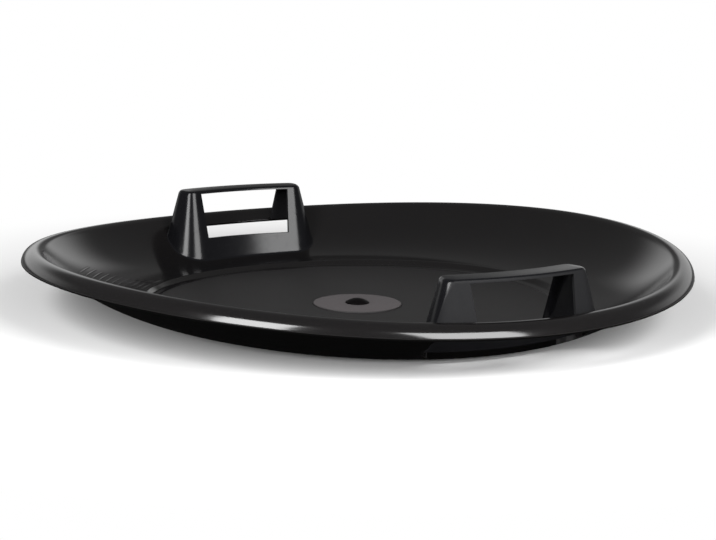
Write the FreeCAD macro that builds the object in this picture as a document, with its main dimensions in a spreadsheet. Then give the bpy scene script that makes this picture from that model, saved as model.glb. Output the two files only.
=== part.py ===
"""Saucer sled: a moulded dish with two hand grips bonded on, a centre pad and a push-in centre plug.

Frame: millimetres, +Z up, origin on the ground under the middle of the dish.
The grips stand at +X (right) and -X (left), the ribbed heel side is -Y.
"""
import FreeCAD
import Part
import Sketcher
import math
import os

DRIVING_SIZES = {
    # dish
    "bowl_width": 109.0,        # edge of the flat floor to the crest
    "floor_thick": 3.0,
    "crease_run": 1.5,          # small crease where the floor ends
    "crease_rise": 0.7,
    "ledge_run": 5.5,           # narrow ledge round the floor
    "ledge_rise": 0.6,
    "riser_run": 4.5,           # short riser from the ledge to the wall
    "riser_rise": 4.5,
    "wall_lean": 3.0,           # slope of the hollow wall where it starts, degrees
    "wall_thick": 3.0,
    "crest_radius": 300.0,      # ring where the rim is highest
    "crest_height": 55.6,       # mean height of that ring above the ground
    "crest_run": 8.0,           # the wall bends over inside this width
    "lip_run": 12.5,            # the rolled lip, outwards and down from the crest
    "lip_drop": 10.9,
    "rim_warp": 7.6,            # the rim dips by this at the grips and rises by it at front and back
    # heel ribs on the front wall
    "rib_setback": 17.0,        # edge of the floor to the innermost rib
    "rib_pitch": 5.4,
    "rib_width": 2.2,
    "rib_height": 0.9,
    "rib_reach": 160.0,         # half length across the sled
    # grips
    "grip_rise": 24.3,          # top face above the crest's mean height
    "grip_margin": 22.0,        # crest to the top face's outer edge
    "grip_width": 24.0,         # width of the top face
    "grip_half_angle": 14.65,
    "grip_draft": 14.6,         # every outer face leans by this angle
    "grip_wall": 2.8,
    "grip_corner": 9.0,         # rounding of the four upright corners
    "grip_edge": 3.0,           # rounding of the top edge
    "post_width": 13.84,        # end of the top face to the hand opening
    "window_taper": 3.7,        # the opening is narrower by this at each end of its foot
    "window_top_gap": 3.2,      # top face to the opening
    "window_height": 45.3,
    "slot_step": 0.4,           # the opening in the wall below stands inside the grip's inner face by this
    # centre
    "pad_radius": 41.9,
    "pad_thick": 1.7,
    "pad_recess": 0.6,
    "plug_radius": 11.1,
    "plug_dome": 4.4,
    "stem_radius": 5.0,
    "barb_radius": 6.5,
    "barb_thick": 1.0,
    "plug_recess_radius": 11.0,
    "plug_recess": 1.2,
    # fits
    "fit": 0.1,                 # clearance on radius of the pad and the plug in the floor
    "overrun": 5.0,             # how far a cutter passes what it cuts
}
# radii from the dish's axis, heights and half lengths that follow from the sizes above
FOLLOWING_SIZES = {
    "floor_radius": "=crest_radius - bowl_width",
    "rib_radius": "=floor_radius + rib_setback",
    "grip_top": "=crest_height + grip_rise",
    "grip_outer": "=crest_radius - grip_margin",
    "grip_inner": "=grip_outer - grip_width",
    "window_top_half": "=grip_inner * sin(grip_half_angle * 1 deg) - post_width",
    "window_low_half": "=window_top_half - window_taper",
    "skirt_top": "=grip_top - window_top_gap - window_height",
}
RIB_COUNT = 11
SIDES = (("right", 0.0), ("left", 180.0))
RING_POLES = 16
UNDER_RUNS = 4

doc = FreeCAD.newDocument("saucer_sled")
sheet = doc.addObject("Spreadsheet::Sheet", "sizes")


def on_sheet(sizes, first_row):
    """Writes named sizes to the sheet, one row each."""
    for row, (alias, value) in enumerate(sizes.items(), start=first_row):
        sheet.set("A%d" % row, alias)
        sheet.set("B%d" % row, str(value))
        sheet.setAlias("B%d" % row, alias)
    doc.recompute()


on_sheet(DRIVING_SIZES, 1)
on_sheet(FOLLOWING_SIZES, len(DRIVING_SIZES) + 1)


def size(alias):
    """A driving dimension, read from the sheet."""
    return float(sheet.get(alias))


def sheet_value(expression):
    """The present value of an expression on the sheet."""
    return float(FreeCAD.Units.Quantity(sheet.evalExpression(expression.replace("sizes.", ""))))


def bound(kind, name, **expressions):
    """A new document object whose properties follow the sheet; a double underscore stands for a dot."""
    item = doc.addObject(kind, name)
    for prop, expression in expressions.items():
        item.setExpression(prop.replace("__", "."), expression)
    return item


def combined(kind, name, base, tool):
    """A boolean of two objects: Part::Cut, Part::Fuse or Part::Common."""
    item = doc.addObject(kind, name)
    item.Base = base
    item.Tool = tool
    return item


def joined(name, items):
    """All the given objects fused into one."""
    item = doc.addObject("Part::MultiFuse", name)
    item.Shapes = items
    return item


# Outlines of the grips

def plane_of(body, role):
    """One of a body's own origin planes."""
    return [f for f in body.Origin.OriginFeatures if f.Role == role][0]


def named(sketch, constraint, name, expression):
    """Adds a constraint that follows an expression."""
    index = sketch.addConstraint(constraint)
    sketch.renameConstraint(index, name)
    sketch.setExpression("Constraints." + name, expression)


def sector_points(inner, outer, corner, inset, half):
    """Tangent points of a rounded ring sector on its +Y side, and the centres of its two corner arcs."""
    side = FreeCAD.Vector(-math.sin(half), math.cos(half), 0)
    along = FreeCAD.Vector(math.cos(half), math.sin(half), 0)
    level = -inset - corner
    inner_centre = along * math.sqrt((inner + corner) ** 2 - level ** 2) + side * level
    outer_centre = along * math.sqrt((outer - corner) ** 2 - level ** 2) + side * level
    return inner_centre, outer_centre, side


def sector_sketch(body, name, height, inner, outer, corner, inset):
    """A ring sector with round corners, symmetric about X; its sizes and its ends' inset are expressions."""
    sketch = body.newObject("Sketcher::SketchObject", name)
    sketch.AttachmentSupport = (plane_of(body, "XY_Plane"), [""])
    sketch.MapMode = "FlatFace"
    sketch.setExpression("AttachmentOffset.Base.z", height)
    half = math.radians(size("grip_half_angle"))
    near, far, bend, gap = (sheet_value(expression) for expression in (inner, outer, corner, inset))
    near_centre, far_centre, side = sector_points(near, far, bend, gap, half)
    axis = FreeCAD.Vector(0, 0, 1)

    def mirrored(point, sign):
        return FreeCAD.Vector(point.x, sign * point.y, 0)

    def arc(middle, radius, start, end):
        circle = Part.Circle(middle, axis, radius)
        angles = [math.atan2(p.y - middle.y, p.x - middle.x) for p in (start, end)]
        sketch.addGeometry(Part.ArcOfCircle(circle, *angles), False)

    near_touch = near_centre * (near / near_centre.Length)
    far_touch = far_centre * (far / far_centre.Length)
    near_end, far_end = near_centre + side * bend, far_centre + side * bend
    origin = FreeCAD.Vector(0, 0, 0)
    arc(origin, near, mirrored(near_touch, -1), near_touch)
    arc(origin, far, mirrored(far_touch, -1), far_touch)
    sketch.addGeometry(Part.LineSegment(near_end, far_end), False)
    sketch.addGeometry(Part.LineSegment(mirrored(near_end, -1), mirrored(far_end, -1)), False)
    arc(near_centre, bend, near_end, near_touch)
    arc(far_centre, bend, far_touch, far_end)
    arc(mirrored(near_centre, -1), bend, mirrored(near_touch, -1), mirrored(near_end, -1))
    arc(mirrored(far_centre, -1), bend, mirrored(far_end, -1), mirrored(far_touch, -1))
    meetings = ((0, 2, 4, 2), (4, 1, 2, 1), (2, 2, 5, 2), (5, 1, 1, 2),
                (0, 1, 6, 1), (6, 2, 3, 1), (3, 2, 7, 1), (7, 2, 1, 1))
    for meeting in meetings:
        sketch.addConstraint(Sketcher.Constraint("Tangent", *meeting))
    for index, expression in ((0, inner), (1, outer)):
        sketch.addConstraint(Sketcher.Constraint("Coincident", index, 3, -1, 1))
        radius = Sketcher.Constraint("Radius", index, sheet_value(expression))
        named(sketch, radius, "radius_%d" % index, expression)
    for index in (4, 5, 6, 7):
        named(sketch, Sketcher.Constraint("Radius", index, bend), "corner_%d" % index, corner)
    for index, sign in ((2, 1), (3, -1)):
        if gap:
            named(sketch, Sketcher.Constraint("Distance", -1, 1, index, gap), "inset_%d" % index, inset)
        else:
            sketch.addConstraint(Sketcher.Constraint("PointOnObject", -1, 1, index))
        named(sketch, Sketcher.Constraint("Angle", index, sign * half), "angle_%d" % index,
              "%d * sizes.grip_half_angle * 1 deg" % sign)
    return sketch


def inside_sketch(body, name, step):
    """Outline of the space inside a grip, drawn at its roof: one wall and a step inside the block."""
    slant = "sizes.grip_draft * 1 deg"
    inset = "(sizes.grip_wall / cos(%s) - sizes.grip_wall * tan(%s) + %s)" % (slant, slant, step)
    return sector_sketch(body, name, "sizes.grip_top - sizes.grip_wall", "sizes.grip_inner + " + inset,
                         "sizes.grip_outer - " + inset, "sizes.grip_corner - " + inset, inset)


def placed(body, angle):
    """A body turned about the dish's axis."""
    body.Placement = FreeCAD.Placement(FreeCAD.Vector(), FreeCAD.Rotation(FreeCAD.Vector(0, 0, 1), angle))
    return body


def drafted_block(body, name, sketch):
    """A block from a sketch down past the ground, wider towards its foot."""
    block = body.newObject("PartDesign::Pad", name)
    block.Profile = sketch
    block.Reversed = True
    block.setExpression("Length", "sizes.grip_top")
    block.setExpression("TaperAngle", "sizes.grip_draft")
    doc.recompute()
    return block


# Dish profile: points and tangents in the (radius, height) plane

def line_poles(start, end):
    """Four poles of a straight run."""
    return [tuple(p + (q - p) * i / 3 for p, q in zip(start, end)) for i in range(4)]


def arc_poles(start, angle_in, angle_out, radius):
    """Four poles of an arc of the given radius that turns from one slope to another, slopes in radians."""
    turn = angle_out - angle_in
    bend = math.copysign(1, turn)
    centre = (start[0] - bend * radius * math.sin(angle_in), start[1] + bend * radius * math.cos(angle_in))
    end = (centre[0] + bend * radius * math.sin(angle_out), centre[1] - bend * radius * math.cos(angle_out))
    pull = 4 / 3 * math.tan(abs(turn) / 4) * radius
    first = (start[0] + pull * math.cos(angle_in), start[1] + pull * math.sin(angle_in))
    second = (end[0] - pull * math.cos(angle_out), end[1] - pull * math.sin(angle_out))
    return [start, first, second, end]


def wall_run():
    """The hollow wall as an arc: its foot, the slopes at its two ends in radians and its radius.

    It runs smoothly into the crest's arc; the upper slope is found by repeated substitution.
    """
    foot = (size("floor_radius") + size("crease_run") + size("ledge_run") + size("riser_run"),
            size("floor_thick") + size("crease_rise") + size("ledge_rise") + size("riser_rise"))
    low = high = math.radians(size("wall_lean"))
    reach = size("crest_radius") - size("crest_run") - foot[0]
    for _ in range(60):
        rise = size("crest_height") - size("crest_run") * math.tan(high / 2) - foot[1]
        high += (2 * math.atan2(rise, reach) - low - high) / 2
    return foot, low, high, reach / (math.sin(high) - math.sin(low))


def warp_share(radius):
    """Share of the rim's dip at a radius: none inside the riser, all of it from the crest outwards."""
    riser_start = size("floor_radius") + size("crease_run") + size("ledge_run")
    inward = (size("crest_radius") - radius) / (size("crest_radius") - riser_start)
    return 1 - min(max(inward, 0), 1) ** 2


def underside_run():
    """The underside's one arc from the ground to the crest's bend: its two ends and its radius."""
    foot, low, high, bend = wall_run()
    top = (foot[0] + bend * (math.sin(high) - math.sin(low)) + size("wall_thick") * math.sin(high),
           foot[1] + bend * (math.cos(low) - math.cos(high)) - size("wall_thick") * math.cos(high))
    run = top[1] / math.tan(high / 2)
    return (top[0] - run, 0.0), top, run / math.sin(high)


def dish_profile():
    """Runs of the upper and lower side as lists of four poles each, from the floor out to the lip."""
    foot, low, high, bend = wall_run()
    floor_edge = (size("floor_radius"), size("floor_thick"))
    ledge = (floor_edge[0] + size("crease_run"), floor_edge[1] + size("crease_rise"))
    riser = (ledge[0] + size("ledge_run"), ledge[1] + size("ledge_rise"))
    wall = arc_poles(foot, low, high, bend)
    crest_bend = size("crest_run") / math.sin(high)
    crest = (size("crest_radius"), size("crest_height"))
    lip_turn = 2 * math.atan2(size("lip_drop"), size("lip_run"))
    lip_bend = size("lip_run") / math.sin(lip_turn)
    upper = [line_poles(floor_edge, ledge), line_poles(ledge, riser), line_poles(riser, foot), wall,
             arc_poles(wall[3], high, 0, crest_bend), arc_poles(crest, 0, -lip_turn, lip_bend)]
    thick = size("wall_thick")
    start, top, base_bend = underside_run()
    lower = []
    for index in range(UNDER_RUNS):
        slopes = (high * index / UNDER_RUNS, high * (index + 1) / UNDER_RUNS)
        lower.append(arc_poles(lower[-1][3] if lower else start, *slopes, base_bend))
    lower += [arc_poles(top, high, 0, crest_bend - thick),
              arc_poles((crest[0], crest[1] - thick), 0, -lip_turn, lip_bend - thick)]
    return upper, lower


def ring_face(run):
    """One run of the profile carried round the axis, with the rim's dip at the grips.

    The poles form a uniform periodic cubic, so each harmonic is scaled to pass through its own value.
    """
    step = 2 * math.pi / RING_POLES
    round_gain = 6 / (4 + 2 * math.cos(step))
    warp_gain = 6 / (4 + 2 * math.cos(2 * step))
    poles = []
    for i in range(RING_POLES):
        turn = i * step
        column = []
        for radius, height in run:
            dip = size("rim_warp") * warp_share(radius) * math.cos(2 * turn) * warp_gain
            column.append(FreeCAD.Vector(radius * math.cos(turn) * round_gain,
                                         radius * math.sin(turn) * round_gain, height - dip))
        poles.append(column)
    surface = Part.BSplineSurface()
    surface.buildFromPolesMultsKnots(poles, [1] * (RING_POLES + 1), [4, 4],
                                     list(range(RING_POLES + 1)), [0, 1], True, False, 3, 3)
    return surface.toShape()


def flat_face(ring):
    """The plane face inside a ring face's inner edge."""
    closed = [edge for edge in ring.Edges if edge.isClosed()]
    return Part.Face(Part.Wire(min(closed, key=lambda edge: edge.BoundBox.XLength)))


def dish_shell():
    """The plain dish as a solid, and the volumes under its wall, its crest's inner bend and its lip."""
    upper, lower = dish_profile()
    upper_faces = [ring_face(run) for run in upper]
    lower_faces = [ring_face(run) for run in lower]
    edge_face = ring_face(line_poles(upper[-1][3], lower[-1][3]))
    shell = Part.makeShell(upper_faces + lower_faces
                           + [edge_face, flat_face(upper_faces[0]), flat_face(lower_faces[0])])
    shell.sewShape()
    solid = Part.Solid(Part.Shell(shell.Faces))
    if solid.Volume < 0:
        solid.reverse()
    down = FreeCAD.Vector(0, 0, -size("grip_top"))
    return solid, [face.extrude(down) for face in upper_faces[3:]]


plain_dish = doc.addObject("Part::Feature", "plain_dish")
under_wall = doc.addObject("Part::Feature", "under_wall")
under_rim = doc.addObject("Part::Feature", "under_rim")
under_lip = doc.addObject("Part::Feature", "under_lip")
plain_dish.Shape, (under_wall.Shape, under_rim.Shape, under_lip.Shape) = dish_shell()

# Dish: openings, ribs and the centre recess

def wall_opening(side, angle):
    """The space inside a grip, carried down through the wall."""
    body = doc.addObject("PartDesign::Body", side + "_wall_opening")
    drafted_block(body, side + "_space", inside_sketch(body, side + "_space_outline", "sizes.slot_step"))
    return placed(body, angle)


openings = joined("wall_openings", [wall_opening(side, angle) for side, angle in SIDES])
opened_dish = combined("Part::Cut", "opened_dish", plain_dish, openings)


def rib_ring(index):
    """One heel rib as an upright ring, wide as the rib."""
    radius = "sizes.rib_radius + %d * sizes.rib_pitch" % index
    outer = bound("Part::Cylinder", "rib_outer_%d" % index, Radius=radius + " + sizes.rib_width / 2",
                  Height="sizes.grip_top")
    inner = bound("Part::Cylinder", "rib_inner_%d" % index, Radius=radius + " - sizes.rib_width / 2",
                  Height="sizes.grip_top")
    return combined("Part::Cut", "rib_ring_%d" % index, outer, inner)


rib_rings = joined("rib_rings", [rib_ring(index) for index in range(RIB_COUNT)])
heel_zone = bound("Part::Box", "heel_zone", Length="2 * sizes.rib_reach", Width="sizes.crest_radius",
                  Height="sizes.grip_top", Placement__Base__x="-sizes.rib_reach",
                  Placement__Base__y="-sizes.crest_radius")
heel_rings = combined("Part::Common", "heel_rings", rib_rings, heel_zone)
raised_dish = doc.addObject("Part::Feature", "raised_dish")
raised_dish.Shape = plain_dish.Shape
raised_dish.setExpression("Placement.Base.z", "sizes.rib_height")
heel_ribs = combined("Part::Common", "heel_ribs", raised_dish, heel_rings)

ribbed_dish = joined("ribbed_dish", [opened_dish, heel_ribs])
pad_recess = bound("Part::Cylinder", "pad_recess", Radius="sizes.pad_radius + sizes.fit",
                   Height="sizes.overrun", Placement__Base__z="sizes.floor_thick - sizes.pad_recess")
stem_hole = bound("Part::Cylinder", "stem_hole", Radius="sizes.stem_radius + sizes.fit",
                  Height="sizes.floor_thick + sizes.overrun")
plug_recess = bound("Part::Cylinder", "plug_recess", Radius="sizes.plug_recess_radius",
                    Height="sizes.plug_recess + sizes.overrun", Placement__Base__z="-sizes.overrun")
dish = combined("Part::Cut", "dish", ribbed_dish, joined("dish_holes", [pad_recess, stem_hole, plug_recess]))

# Grips: a drafted hollow canopy with a hand opening, seated on the wall

def window_outline(body):
    """Trapezium of the hand opening in the upright plane, wider at its top."""
    sketch = body.newObject("Sketcher::SketchObject", body.Name + "_window")
    sketch.AttachmentSupport = (plane_of(body, "YZ_Plane"), [""])
    sketch.MapMode = "FlatFace"
    top, low = size("grip_top") - size("window_top_gap"), size("skirt_top")
    corners = [(-size("window_low_half"), low), (size("window_low_half"), low),
               (size("window_top_half"), top), (-size("window_top_half"), top)]
    for i in range(4):
        ends = [FreeCAD.Vector(*corners[j % 4], 0) for j in (i, i + 1)]
        sketch.addGeometry(Part.LineSegment(*ends), False)
    for i in range(4):
        sketch.addConstraint(Sketcher.Constraint("Coincident", i, 2, (i + 1) % 4, 1))
    roof = "sizes.grip_top - sizes.window_top_gap"
    places_on_sheet = (("-sizes.window_low_half", "sizes.skirt_top"),
                       ("sizes.window_low_half", "sizes.skirt_top"),
                       ("sizes.window_top_half", roof), ("-sizes.window_top_half", roof))
    for line, (across, height) in enumerate(places_on_sheet):
        x, y = corners[line]
        named(sketch, Sketcher.Constraint("DistanceX", -1, 1, line, 1, x), "across_%d" % line, across)
        named(sketch, Sketcher.Constraint("DistanceY", -1, 1, line, 1, y), "height_%d" % line, height)
    return sketch


def edge_names(shape, test):
    """Names of the edges that pass a test."""
    return ["Edge%d" % (i + 1) for i, edge in enumerate(shape.Edges) if test(edge)]


def canopy_body(side):
    """The grip before it is seated: drafted block, rounded, hollowed from below, with its hand opening."""
    body = doc.addObject("PartDesign::Body", side + "_canopy")
    outline = sector_sketch(body, side + "_outline", "sizes.grip_top", "sizes.grip_inner", "sizes.grip_outer",
                            "sizes.grip_corner", "0")
    block = drafted_block(body, side + "_block", outline)
    top = size("grip_top")
    rounded = body.newObject("PartDesign::Fillet", side + "_top_edge")
    rounded.Base = (block, edge_names(block.Shape, lambda e: e.BoundBox.ZMin > top - size("grip_edge") / 2))
    rounded.setExpression("Radius", "sizes.grip_edge")
    doc.recompute()
    hollow = body.newObject("PartDesign::Pocket", side + "_hollow")
    hollow.Profile = inside_sketch(body, side + "_cavity", "0")
    hollow.setExpression("Length", "sizes.grip_top")
    hollow.setExpression("TaperAngle", "sizes.grip_draft")
    doc.recompute()
    window = body.newObject("PartDesign::Pocket", side + "_opening")
    window.Profile = window_outline(body)
    window.Type = "ThroughAll"
    window.Reversed = True
    doc.recompute()
    volumes = [feature.Shape.Volume for feature in (block, rounded, hollow, window)]
    if not volumes[0] > volumes[1] > volumes[2] > volumes[3]:
        raise RuntimeError(side + " grip: a feature cut nothing")
    return body


def grip(side, angle):
    """One grip: the canopy, cut to stand on the wall and the rim."""
    outside = combined("Part::Cut", side + "_outside", placed(canopy_body(side), angle), under_lip)
    back = combined("Part::Cut", side + "_back", outside, under_rim)
    return combined("Part::Cut", side + "_handle", back, under_wall)


handles = [grip(side, angle) for side, angle in SIDES]

# Centre pad and plug

pad_disc = bound("Part::Cylinder", "pad_disc", Radius="sizes.pad_radius", Height="sizes.pad_thick",
                 Placement__Base__z="sizes.floor_thick - sizes.pad_recess")
centre_pad = combined("Part::Cut", "centre_pad", pad_disc, stem_hole)

pad_top = "(sizes.floor_thick - sizes.pad_recess + sizes.pad_thick)"
dome_curve = "((sizes.plug_radius^2 + sizes.plug_dome^2) / (2 * sizes.plug_dome))"
ball = bound("Part::Sphere", "plug_ball", Radius=dome_curve,
             Placement__Base__z="%s + sizes.plug_dome - %s" % (pad_top, dome_curve))
dome_zone = bound("Part::Cylinder", "plug_zone", Radius="sizes.plug_radius + sizes.overrun",
                  Height="sizes.plug_dome + sizes.overrun", Placement__Base__z=pad_top)
dome = combined("Part::Common", "plug_dome", ball, dome_zone)
stem = bound("Part::Cylinder", "plug_stem", Radius="sizes.stem_radius",
             Height="%s - sizes.plug_recess + sizes.barb_thick" % pad_top,
             Placement__Base__z="sizes.plug_recess - sizes.barb_thick")
barb = bound("Part::Cylinder", "plug_barb", Radius="sizes.barb_radius", Height="sizes.barb_thick",
             Placement__Base__z="sizes.plug_recess - sizes.barb_thick")
centre_plug = joined("centre_plug", [dome, stem, barb])

# Check and write every piece

pieces = [dish] + handles + [centre_pad, centre_plug]
doc.recompute()
failed = [o.Name for o in doc.Objects if "Invalid" in o.State or "Error" in o.State]
if failed:
    raise RuntimeError("objects failed: " + ", ".join(failed))
os.makedirs("parts", exist_ok=True)
for piece in pieces:
    shape = piece.Shape
    if shape.isNull() or not shape.isValid() or not shape.Solids:
        raise RuntimeError(piece.Name + " has no valid solid")
    piece.Label = piece.Name
    box = shape.BoundBox
    print(piece.Label, "solids", len(shape.Solids), "volume %.1f" % shape.Volume,
          "z %.1f to %.1f" % (box.ZMin, box.ZMax))
for piece in pieces:
    piece.Shape.exportStep("parts/%s.step" % piece.Label)
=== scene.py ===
"""Saucer sled: the finished surfaces of a moulded snow saucer, built over its packed solids."""
import math

import bmesh
import bpy
import numpy as np
from mathutils import Matrix, Vector


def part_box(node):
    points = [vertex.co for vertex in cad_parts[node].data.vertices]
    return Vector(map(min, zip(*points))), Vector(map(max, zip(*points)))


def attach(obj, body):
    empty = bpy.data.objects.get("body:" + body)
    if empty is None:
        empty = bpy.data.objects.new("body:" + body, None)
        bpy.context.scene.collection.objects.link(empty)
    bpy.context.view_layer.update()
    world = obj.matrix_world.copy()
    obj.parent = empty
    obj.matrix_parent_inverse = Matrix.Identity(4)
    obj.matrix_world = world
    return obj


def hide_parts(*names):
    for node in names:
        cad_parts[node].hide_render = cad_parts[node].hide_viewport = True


bl_info = {
    "name": "Saucer sled",
    "version": (1, 0, 0),
    "blender": (4, 5, 0),
    "location": "View3D > Sidebar > Sled",
    "description": "Builds the visible surfaces of a round snow saucer with two hand grips",
    "category": "Add Mesh",
}

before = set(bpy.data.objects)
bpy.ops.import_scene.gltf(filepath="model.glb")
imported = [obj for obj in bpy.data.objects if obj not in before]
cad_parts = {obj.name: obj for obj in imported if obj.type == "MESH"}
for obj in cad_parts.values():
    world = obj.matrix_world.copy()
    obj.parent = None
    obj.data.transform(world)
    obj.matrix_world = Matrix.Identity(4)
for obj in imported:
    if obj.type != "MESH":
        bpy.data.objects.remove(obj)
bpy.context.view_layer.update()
DISH_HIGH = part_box("dish")[1]
GRIP_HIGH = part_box("right_handle")[1]
PAD_LOW, PAD_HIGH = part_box("centre_pad")
PLUG_LOW, PLUG_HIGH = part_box("centre_plug")
BODY = "root"
SIDES = (("right", 0.0), ("left", math.pi))
PHOTO_WIDTH, PHOTO_HEIGHT = 716, 540
MM = 0.001
# Columns and steps of the grids
DISH_COLUMNS, PAD_COLUMNS, PLUG_COLUMNS, DOME_STEPS = 400, 160, 96, 15
RIB_STEPS, RIB_ROUND_STEPS = 180, 8
# Angle between faces above which an edge stays sharp, and above which it is rounded
SHARP_ANGLE, ROUNDED_ANGLE = math.radians(40), math.radians(55)
# Faces whose normal's height is below this belong to the underside
LOOKS_DOWN = -0.05


def length(name, about, default):
    """A length in metres."""
    return bpy.props.FloatProperty(name=name, description=about, default=default, unit="LENGTH", precision=5)


def angle(name, about, degrees):
    """An angle, given in degrees."""
    return bpy.props.FloatProperty(name=name, description=about, default=math.radians(degrees),
                                   subtype="ANGLE")


def number(name, about, default):
    """A plain number."""
    return bpy.props.FloatProperty(name=name, description=about, default=default)


def colour(name, about, default):
    """A linear colour."""
    return bpy.props.FloatVectorProperty(name=name, description=about, default=default, subtype="COLOR",
                                         size=3, min=0.0, max=1.0)


class DishSizes(bpy.types.PropertyGroup):
    """Sizes of the moulded dish; radii are measured from its axis."""
    floor_radius: length("Floor radius", "Flat floor inside the crease", 191 * MM)
    floor_top: length("Floor", "Height of the floor's upper side", 3.0 * MM)
    crease_run: length("Crease width", "Crease where the floor ends", 1.5 * MM)
    crease_rise: length("Crease rise", "Rise over the crease", 0.7 * MM)
    ledge_run: length("Ledge width", "Narrow ledge round the floor", 5.5 * MM)
    ledge_rise: length("Ledge rise", "Rise over the ledge", 0.6 * MM)
    riser_run: length("Riser width", "Short riser from the ledge to the wall", 4.5 * MM)
    riser_rise: length("Riser rise", "Rise over the riser", 4.5 * MM)
    step_round: length("Step rounding", "Rounding of the step round the floor", 1.3 * MM)
    wall_lean: angle("Wall lean", "Slope of the hollow wall at its foot", 3.0)
    thick: length("Wall", "Thickness of the wall", 3.0 * MM)
    crest_radius: length("Crest radius", "Ring where the rim is highest", 300 * MM)
    crest_run: length("Crest width", "Width in which the wall bends over to the crest", 8.0 * MM)
    lip_drop: length("Lip drop", "Drop of the rolled lip below the crest", 10.9 * MM)
    rim_warp: length("Rim warp", "Dip of the rim at the grips and its rise between them", 7.6 * MM)
    warp_turn: angle("Warp turn", "Turn of the warp from the line through the grips", 7.5)
    floor_warp: number("Floor warp", "Share of the rim's warp that is felt at the floor's edge", 0.2)
    slot_inner: length("Opening from", "Inner edge of the openings under the grips", 239.4 * MM)
    slot_outer: length("Opening to", "Outer edge of the openings under the grips", 285.4 * MM)
    undercut: length("Undercut", "How far the openings' inner edge leans in under the wall", 2.6 * MM)
    slot_inner_half: angle("Opening at its inner edge", "Half the angle that an opening covers there", 18.2)
    slot_outer_half: angle("Opening at its outer edge", "Half the angle that an opening covers there", 16.0)
    recess: length("Pad recess", "Depth of the recess under the pad", 0.6 * MM)
    hole_radius: length("Centre hole", "Radius of the hole for the plug's stem", 5.1 * MM)
    plug_recess_radius: length("Plug recess radius", "Recess under the floor for the plug's barb", 11 * MM)
    plug_recess: length("Plug recess", "Depth of that recess", 1.2 * MM)
    edge_round: length("Edge rounding", "Rounding of the openings' edges", 0.7 * MM)
    rib_count: bpy.props.IntProperty(name="Ribs", description="Number of heel ribs", default=11)
    rib_radius: length("First rib", "Radius of the innermost heel rib", 208 * MM)
    rib_pitch: length("Rib pitch", "Distance between heel ribs", 5.4 * MM)
    rib_width: length("Rib width", "Width of a heel rib", 2.2 * MM)
    rib_height: length("Rib height", "Height of a heel rib", 0.9 * MM)
    rib_reach: length("Rib reach", "Half length of the ribs across the sled", 160 * MM)
    rib_sink: length("Rib sink", "How far the ribs stand in the wall", 0.1 * MM)


class GripSizes(bpy.types.PropertyGroup):
    """Sizes of the hand grips."""
    inner: length("Inner radius", "Top face, nearest to the sled's axis", 254 * MM)
    outer: length("Outer radius", "Top face, farthest from the sled's axis", 278 * MM)
    half: angle("Half angle", "Half the angle that the top face covers", 14.65)
    draft: angle("Draft", "Lean of every outer face", 14.6)
    wall: length("Wall", "Thickness of the walls", 2.8 * MM)
    corner: length("Corner", "Rounding of the upright corners at the top", 9.0 * MM)
    edge: length("Top edge", "Rounding of the top edge along the front and the back", 3.0 * MM)
    end_edge: length("End edge", "Rounding of the top edge at the ends", 4.8 * MM)
    inner_edge: length("Inner edge", "Rounding inside the top edge", 1.0 * MM)
    crown: length("Crown", "Rise of the top face along its middle", 0.5 * MM)
    window_top_half: length("Opening top", "Half length of the hand opening at its top", 50.4 * MM)
    window_low_half: length("Opening foot", "Half length of the hand opening at the skirt", 46.7 * MM)
    window_gap: length("Opening gap", "Top face down to the opening", 3.2 * MM)
    skirt_top: length("Skirt", "Height of the front skirt under the opening", 31.4 * MM)
    front_flare: length("Front flare", "Reach of the hollow rounding at the front's foot", 2.2 * MM)
    end_flare: length("End flare", "Reach of the hollow rounding at the ends' foot", 1.1 * MM)
    foot_rise: length("Foot rise", "Height of the hollow rounding at the foot", 3.2 * MM)
    foot_sink: length("Foot sink", "How far the foot stands in the wall", 0.15 * MM)
    foot_band: length("Foot band", "Least height of the skirt above the hollow rounding", 2.0 * MM)
    edge_round: length("Edge rounding", "Rounding of the opening's edges", 0.8 * MM)


class CentreSizes(bpy.types.PropertyGroup):
    """Sizes of the centre pad and its plug."""
    pad_round: length("Pad rounding", "Rounding of the pad's upper edge", 0.7 * MM)
    plug_brim: length("Plug brim", "Height of the plug's upright brim", 0.9 * MM)
    stem_radius: length("Stem radius", "Radius of the plug's stem", 5.0 * MM)
    barb_radius: length("Barb radius", "Radius of the barb on the stem", 6.5 * MM)
    barb_thick: length("Barb height", "Height of the barb", 1.0 * MM)
    plug_round: length("Plug rounding", "Rounding of the plug's edges", 0.3 * MM)


class SledColours(bpy.types.PropertyGroup):
    """Colours of the plastics and of the stage."""
    wall: colour("Wall", "Satin black of the wall and the rim", (0.0046, 0.0042, 0.0043))
    floor: colour("Floor", "Matt grained black of the floor", (0.0050, 0.0045, 0.0047))
    # The running side's black is darker than the wall's: painted shade on the faces that look down
    under: colour("Running side", "Dull black of the underside", (0.0016, 0.0015, 0.0015))
    # The faint blue in the grips' black stands in for the bluish tint of their reflections: a painted
    # reflection tint
    grip: colour("Grip", "Polished black of the grips", (0.0035, 0.0035, 0.0042))
    pad: colour("Pad", "Matt grey of the centre pad", (0.068, 0.061, 0.063))
    plug: colour("Plug", "Satin black of the plug", (0.0016, 0.0013, 0.0014))
    ground: colour("Ground", "The pale floor of the stage", (0.85, 0.85, 0.85))


class ViewSettings(bpy.types.PropertyGroup):
    """The camera, found from the rim, the floor and the grips in the photograph."""
    azimuth: angle("Azimuth", "Direction from which the sled is seen", 60.86)
    elevation: angle("Elevation", "Height of the view above the horizon", 10.16)
    roll: angle("Roll", "Turn of the picture", 0.96)
    distance: length("Distance", "Camera to the middle of the rim", 1.69716)
    focal_pixels: number("Focal length", "Focal length in pixels of the photograph", 1802.2)
    centre_x: number("Centre across", "Pixel column of the rim's middle", 358.21)
    centre_y: number("Centre down", "Pixel row of the rim's middle", 249.17)


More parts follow.
